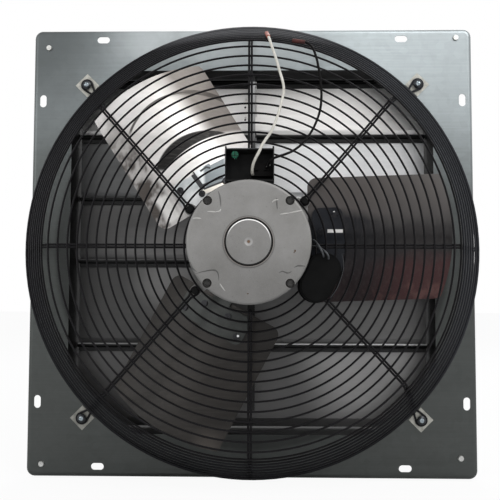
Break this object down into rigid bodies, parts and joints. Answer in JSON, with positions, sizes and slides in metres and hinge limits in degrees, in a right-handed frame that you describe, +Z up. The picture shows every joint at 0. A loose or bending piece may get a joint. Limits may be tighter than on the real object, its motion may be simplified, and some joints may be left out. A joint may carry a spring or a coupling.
{
  "type": "shutter exhaust fan",
  "caption": "Wall exhaust fan: square galvanised plate with gravity louvre shutter behind, domed wire guard in front that carries the motor and a sheet-metal propeller.",
  "frame": {"origin": "on the fan axis, at the wall side of the mounting plate's sheet, centre of the slot pattern", "axes": "+Y along the fan axis towards the outdoors (air leaves that way), +Z up, +X to the right seen from the room"},
  "size_m": [0.6037, 0.24, 0.606],
  "materials": {
    "galvanised_sheet": "spangled, satin",
    "black_enamel": "semi-gloss",
    "cast_aluminium": "cast, matt",
    "nylon": "satin",
    "zinc_plate": "satin",
    "pad_zinc": "dull",
    "black_steel": "satin",
    "dark_steel": "satin",
    "bearing_steel": "polished",
    "core_steel": "laminated",
    "copper_winding": "varnished",
    "black_box": "matt",
    "block_plastic": "matt",
    "green_lacquer": "gloss",
    "white_insulation": "satin",
    "black_insulation": "satin",
    "orange_plastic": "satin",
    "capacitor_black": "satin",
    "grey_insulation": "satin",
    "slat_aluminium": "mill finish",
    "blade_sheet": "mill finish, stained",
    "spider_zinc": "satin"
  },
  "bodies": {
    "frame": {"mounting_plate": "galvanised_sheet", "shutter_frame_top": "galvanised_sheet", "shutter_frame_bottom": "galvanised_sheet", "shutter_frame_left": "galvanised_sheet", "shutter_frame_right": "galvanised_sheet", "pivot_bushes": "nylon", "corner_screws": "zinc_plate", "guard_base_ring": "black_enamel", "guard_side_rings": "black_enamel", "guard_face_rings": "black_enamel", "guard_ribs": "black_enamel", "guard_pads": "pad_zinc", "guard_screws": "zinc_plate", "motor_mount_bolts": "zinc_plate", "motor_mount_nuts": "zinc_plate", "motor_rear_bell": "cast_aluminium", "motor_drive_bell": "cast_aluminium", "motor_shell": "black_steel", "through_bolts": "dark_steel", "through_bolt_nuts": "zinc_plate", "bearing_cap": "cast_aluminium", "bearings": "bearing_steel", "stator_core": "core_steel", "stator_windings": "copper_winding", "terminal_box": "black_box", "terminal_box_screws": "zinc_plate", "terminal_block": "block_plastic", "ground_screw": "green_lacquer", "white_lead": "white_insulation", "black_lead": "black_insulation", "white_lead_connector": "orange_plastic", "black_lead_connector": "orange_plastic", "capacitor": "capacitor_black", "capacitor_strap": "zinc_plate", "capacitor_leads": "grey_insulation"},
    "fan": {"shaft": "bearing_steel", "rotor_core": "core_steel", "hub": "dark_steel", "set_screw": "dark_steel", "spider": "spider_zinc", "blade_1": "blade_sheet", "blade_2": "blade_sheet", "blade_3": "blade_sheet", "blade_rivets": "zinc_plate"},
    "louvre_1": {"slat_1": "slat_aluminium", "pivot_rod_1": "dark_steel", "slat_bracket_1": "slat_aluminium"},
    "louvre_2": {"slat_2": "slat_aluminium", "pivot_rod_2": "dark_steel", "slat_bracket_2": "slat_aluminium"},
    "louvre_3": {"slat_3": "slat_aluminium", "pivot_rod_3": "dark_steel", "slat_bracket_3": "slat_aluminium"},
    "louvre_4": {"slat_4": "slat_aluminium", "pivot_rod_4": "dark_steel", "slat_bracket_4": "slat_aluminium"},
    "louvre_5": {"slat_5": "slat_aluminium", "pivot_rod_5": "dark_steel", "slat_bracket_5": "slat_aluminium"},
    "tie": {"tie_bar": "slat_aluminium"}
  },
  "joints": [
    {"name": "fan_spin", "type": "hinge", "parent": "frame", "child": "fan", "pos_m": [0, 0, 0], "axis": [0, -1, 0], "continuous": true},
    {"name": "slat_1_hinge", "type": "hinge", "parent": "frame", "child": "louvre_1", "pos_m": [0, 0.044, 0.2428], "axis": [1, 0, 0], "range_deg": [0, 70]},
    {"name": "slat_2_hinge", "type": "hinge", "parent": "frame", "child": "louvre_2", "pos_m": [0, 0.044, 0.1638], "axis": [1, 0, 0], "range_deg": [0, 70]},
    {"name": "slat_3_hinge", "type": "hinge", "parent": "frame", "child": "louvre_3", "pos_m": [0, 0.044, 0.0748], "axis": [1, 0, 0], "range_deg": [0, 70]},
    {"name": "slat_4_hinge", "type": "hinge", "parent": "frame", "child": "louvre_4", "pos_m": [0, 0.044, -0.0142], "axis": [1, 0, 0], "range_deg": [0, 70]},
    {"name": "slat_5_hinge", "type": "hinge", "parent": "frame", "child": "louvre_5", "pos_m": [0, 0.044, -0.1322], "axis": [1, 0, 0], "range_deg": [0, 70]},
    {"name": "tie_bar_hinge", "type": "hinge", "parent": "louvre_1", "child": "tie", "pos_m": [0.0045, 0.016, 0.2408], "axis": [1, 0, 0], "range_deg": [-70, 0]}
  ],
  "couplings": [
    {"joint": "slat_2_hinge", "follows": "slat_1_hinge", "ratio": 1},
    {"joint": "slat_3_hinge", "follows": "slat_1_hinge", "ratio": 1},
    {"joint": "slat_4_hinge", "follows": "slat_1_hinge", "ratio": 1},
    {"joint": "slat_5_hinge", "follows": "slat_1_hinge", "ratio": 1},
    {"joint": "tie_bar_hinge", "follows": "slat_1_hinge", "ratio": -1}
  ]
}
